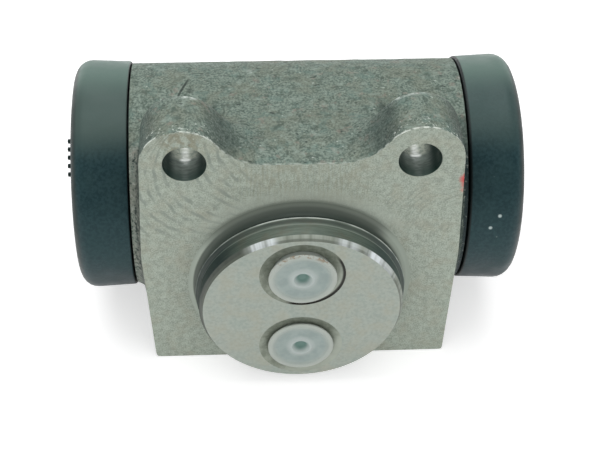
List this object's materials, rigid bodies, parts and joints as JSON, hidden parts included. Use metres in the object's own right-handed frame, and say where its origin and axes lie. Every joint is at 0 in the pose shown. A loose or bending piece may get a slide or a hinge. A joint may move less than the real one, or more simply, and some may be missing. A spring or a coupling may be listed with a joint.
{
  "type": "drum brake wheel cylinder",
  "caption": "Two-piston drum brake wheel cylinder with a milled mounting face, a round spigot holding two plugged hydraulic ports, two fixing ears and rubber boots.",
  "frame": {"origin": "where the axis of the round spigot meets the mounting face", "axes": "+X along the bore, -Y out of the mounting face, +Z towards the two fixing ears"},
  "size_m": [0.0676, 0.0432, 0.0467],
  "materials": {
    "cast_iron": "matte",
    "piston_metal": "satin",
    "seal_rubber": "satin",
    "spring_steel": "satin",
    "boot_rubber": "satin",
    "plug_plastic": "satin"
  },
  "bodies": {
    "housing": {"housing": "cast_iron", "left_boot": "boot_rubber", "right_boot": "boot_rubber", "return_spring": "spring_steel", "inlet_plug": "plug_plastic", "bleed_plug": "plug_plastic"},
    "left_piston": {"left_piston": "piston_metal", "left_cup_seal": "seal_rubber", "left_cup_expander": "spring_steel"},
    "right_piston": {"right_piston": "piston_metal", "right_cup_seal": "seal_rubber", "right_cup_expander": "spring_steel"}
  },
  "joints": [
    {"name": "left_piston_slide", "type": "slide", "parent": "housing", "child": "left_piston", "axis": [-1, 0, 0], "range_m": [-0.0015, 0.006], "deforming": ["return_spring", "left_boot"]},
    {"name": "right_piston_slide", "type": "slide", "parent": "housing", "child": "right_piston", "axis": [1, 0, 0], "range_m": [-0.0015, 0.006], "deforming": ["return_spring", "right_boot"]}
  ]
}
